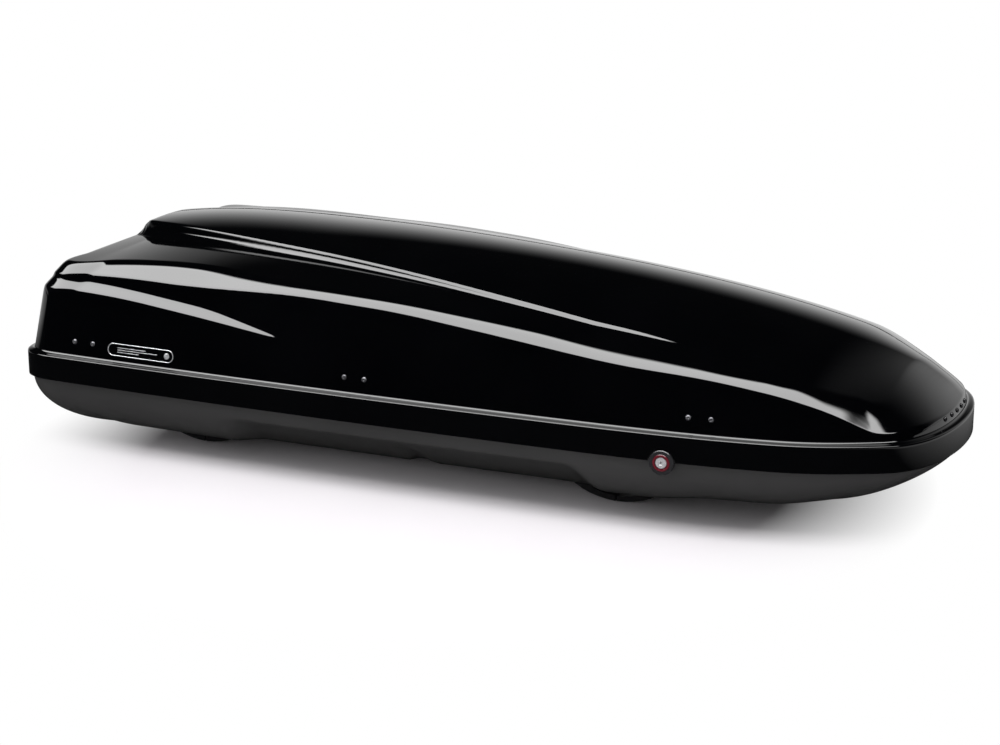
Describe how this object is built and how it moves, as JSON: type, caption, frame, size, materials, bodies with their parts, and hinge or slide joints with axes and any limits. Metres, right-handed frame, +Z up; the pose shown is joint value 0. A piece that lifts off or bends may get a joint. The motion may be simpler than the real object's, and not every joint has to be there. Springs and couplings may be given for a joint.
{
  "type": "roof cargo box",
  "caption": "Long hard-shell roof cargo box with a stepped gloss lid on side hinges, grey tray, key lock, lid stays, luggage straps and claw clamps for roof crossbars.",
  "frame": {"origin": "on the flat underside of the tray where it rests on the crossbars, midway between the sides and about midway along", "axes": "+X towards the nose, +Y towards the hinged side, -Y is the side with the lock, +Z up"},
  "size_m": [1.93, 0.8151, 0.445],
  "materials": {
    "lid_gloss_black": "high gloss",
    "tray_grey": "satin",
    "black_plastic": "fine grain",
    "knob_grey": "satin",
    "zinc_steel": "zinc plated",
    "lock_chrome": "polished",
    "red_plastic": "gloss",
    "webbing": "woven",
    "badge_silver": "satin"
  },
  "bodies": {
    "base": {"base_shell": "tray_grey", "base_rail_right": "zinc_steel", "base_rail_left": "zinc_steel", "hinge_base_rear": "black_plastic", "hinge_base_middle": "black_plastic", "hinge_base_front": "black_plastic", "bar_guide_rear": "black_plastic", "bar_guide_front": "black_plastic", "lock_housing": "tray_grey", "lock_indicator_ring": "red_plastic", "strap_rear": "webbing", "strap_front": "webbing", "buckle_rear": "black_plastic", "buckle_front": "black_plastic", "clamp_body_rear_right": "black_plastic", "clamp_body_rear_left": "black_plastic", "clamp_body_front_right": "black_plastic", "clamp_body_front_left": "black_plastic", "stay_foot_rear": "zinc_steel", "stay_foot_front": "zinc_steel"},
    "lid": {"lid_shell": "lid_gloss_black", "side_rivet_rear_a": "zinc_steel", "side_rivet_rear_b": "zinc_steel", "latch_keeper_rear": "zinc_steel", "side_rivet_middle_a": "zinc_steel", "side_rivet_middle_b": "zinc_steel", "latch_keeper_middle": "zinc_steel", "side_rivet_front_a": "zinc_steel", "side_rivet_front_b": "zinc_steel", "latch_keeper_front": "zinc_steel", "nose_rivet_1": "black_plastic", "nose_rivet_2": "black_plastic", "nose_rivet_3": "black_plastic", "nose_rivet_4": "black_plastic", "nose_rivet_5": "black_plastic", "nose_bracket": "zinc_steel", "badge_plate": "badge_silver", "hinge_leaf_rear": "black_plastic", "hinge_leaf_middle": "black_plastic", "hinge_leaf_front": "black_plastic", "stay_head_rear": "zinc_steel", "stay_head_front": "zinc_steel"},
    "lock_cylinder": {"lock_cylinder": "lock_chrome"},
    "lock_bar": {"lock_bar": "zinc_steel"},
    "clamp_knob_rear_right": {"clamp_knob_rear_right": "knob_grey"},
    "clamp_jaw_rear_right_a": {"clamp_jaw_rear_right_a": "black_plastic"},
    "clamp_jaw_rear_right_b": {"clamp_jaw_rear_right_b": "black_plastic"},
    "clamp_knob_rear_left": {"clamp_knob_rear_left": "knob_grey"},
    "clamp_jaw_rear_left_a": {"clamp_jaw_rear_left_a": "black_plastic"},
    "clamp_jaw_rear_left_b": {"clamp_jaw_rear_left_b": "black_plastic"},
    "clamp_knob_front_right": {"clamp_knob_front_right": "knob_grey"},
    "clamp_jaw_front_right_a": {"clamp_jaw_front_right_a": "black_plastic"},
    "clamp_jaw_front_right_b": {"clamp_jaw_front_right_b": "black_plastic"},
    "clamp_knob_front_left": {"clamp_knob_front_left": "knob_grey"},
    "clamp_jaw_front_left_a": {"clamp_jaw_front_left_a": "black_plastic"},
    "clamp_jaw_front_left_b": {"clamp_jaw_front_left_b": "black_plastic"},
    "stay_tube_rear": {"stay_tube_rear": "black_plastic"},
    "stay_rod_rear": {"stay_rod_rear": "zinc_steel"},
    "stay_tube_front": {"stay_tube_front": "black_plastic"},
    "stay_rod_front": {"stay_rod_front": "zinc_steel"}
  },
  "joints": [
    {"name": "lid_hinge", "type": "hinge", "parent": "base", "child": "lid", "pos_m": [-0.788, 0.4098, 0.104], "axis": [-0.999, 0.0447, 0], "range_deg": [0, 58]},
    {"name": "lock_turn", "type": "hinge", "parent": "base", "child": "lock_cylinder", "pos_m": [0.488, -0.34666, 0.114], "axis": [-0.1086, 0.9941, 0], "range_deg": [0, 90.5]},
    {"name": "lock_bar_slide", "type": "slide", "parent": "base", "child": "lock_bar", "axis": [-0.9983, -0.0586, 0], "range_m": [0, 0.03]},
    {"name": "knob_turn_rear_right", "type": "hinge", "parent": "base", "child": "clamp_knob_rear_right", "pos_m": [-0.598, -0.215, 0.05], "axis": [0, 0, 1], "range_deg": [0, 720]},
    {"name": "jaw_swing_rear_right_a", "type": "hinge", "parent": "base", "child": "clamp_jaw_rear_right_a", "pos_m": [-0.66, -0.215, 0.016], "axis": [0, 1, 0], "range_deg": [0, 30.2]},
    {"name": "jaw_swing_rear_right_b", "type": "hinge", "parent": "base", "child": "clamp_jaw_rear_right_b", "pos_m": [-0.536, -0.215, 0.016], "axis": [0, -1, 0], "range_deg": [0, 30.2]},
    {"name": "knob_turn_rear_left", "type": "hinge", "parent": "base", "child": "clamp_knob_rear_left", "pos_m": [-0.598, 0.215, 0.05], "axis": [0, 0, 1], "range_deg": [0, 720]},
    {"name": "jaw_swing_rear_left_a", "type": "hinge", "parent": "base", "child": "clamp_jaw_rear_left_a", "pos_m": [-0.66, 0.215, 0.016], "axis": [0, 1, 0], "range_deg": [0, 30.2]},
    {"name": "jaw_swing_rear_left_b", "type": "hinge", "parent": "base", "child": "clamp_jaw_rear_left_b", "pos_m": [-0.536, 0.215, 0.016], "axis": [0, -1, 0], "range_deg": [0, 30.2]},
    {"name": "knob_turn_front_right", "type": "hinge", "parent": "base", "child": "clamp_knob_front_right", "pos_m": [0.336, -0.19, 0.05], "axis": [0, 0, 1], "range_deg": [0, 720]},
    {"name": "jaw_swing_front_right_a", "type": "hinge", "parent": "base", "child": "clamp_jaw_front_right_a", "pos_m": [0.274, -0.19, 0.016], "axis": [0, 1, 0], "range_deg": [0, 30.2]},
    {"name": "jaw_swing_front_right_b", "type": "hinge", "parent": "base", "child": "clamp_jaw_front_right_b", "pos_m": [0.398, -0.19, 0.016], "axis": [0, -1, 0], "range_deg": [0, 30.2]},
    {"name": "knob_turn_front_left", "type": "hinge", "parent": "base", "child": "clamp_knob_front_left", "pos_m": [0.336, 0.19, 0.05], "axis": [0, 0, 1], "range_deg": [0, 720]},
    {"name": "jaw_swing_front_left_a", "type": "hinge", "parent": "base", "child": "clamp_jaw_front_left_a", "pos_m": [0.274, 0.19, 0.016], "axis": [0, 1, 0], "range_deg": [0, 30.2]},
    {"name": "jaw_swing_front_left_b", "type": "hinge", "parent": "base", "child": "clamp_jaw_front_left_b", "pos_m": [0.398, 0.19, 0.016], "axis": [0, -1, 0], "range_deg": [0, 30.2]},
    {"name": "stay_swing_rear", "type": "hinge", "parent": "base", "child": "stay_tube_rear", "pos_m": [-0.56537, 0.27971, 0.044], "axis": [-0.999, 0.0447, 0], "range_deg": [0, 29.3]},
    {"name": "stay_slide_rear", "type": "slide", "parent": "stay_tube_rear", "child": "stay_rod_rear", "axis": [0.0059, 0.132, 0.9912], "range_m": [0, 0.0893]},
    {"name": "stay_swing_front", "type": "hinge", "parent": "base", "child": "stay_tube_front", "pos_m": [0.32463, 0.23988, 0.044], "axis": [-0.999, 0.0447, 0], "range_deg": [0, 29.3]},
    {"name": "stay_slide_front", "type": "slide", "parent": "stay_tube_front", "child": "stay_rod_front", "axis": [0.0059, 0.132, 0.9912], "range_m": [0, 0.0893]}
  ],
  "couplings": [
    {"joint": "lock_turn", "follows": "lock_bar_slide", "rad_per_m": 52.36},
    {"joint": "jaw_swing_rear_right_a", "follows": "knob_turn_rear_right", "ratio": 0.041667},
    {"joint": "jaw_swing_rear_right_b", "follows": "knob_turn_rear_right", "ratio": 0.041667},
    {"joint": "jaw_swing_rear_left_a", "follows": "knob_turn_rear_left", "ratio": 0.041667},
    {"joint": "jaw_swing_rear_left_b", "follows": "knob_turn_rear_left", "ratio": 0.041667},
    {"joint": "jaw_swing_front_right_a", "follows": "knob_turn_front_right", "ratio": 0.041667},
    {"joint": "jaw_swing_front_right_b", "follows": "knob_turn_front_right", "ratio": 0.041667},
    {"joint": "jaw_swing_front_left_a", "follows": "knob_turn_front_left", "ratio": 0.041667},
    {"joint": "jaw_swing_front_left_b", "follows": "knob_turn_front_left", "ratio": 0.041667},
    {"joint": "stay_swing_rear", "follows": "lid_hinge", "ratio": 0.50138},
    {"joint": "stay_slide_rear", "follows": "lid_hinge", "m_per_rad": 0.087594},
    {"joint": "stay_swing_front", "follows": "lid_hinge", "ratio": 0.50138},
    {"joint": "stay_slide_front", "follows": "lid_hinge", "m_per_rad": 0.087594}
  ]
}
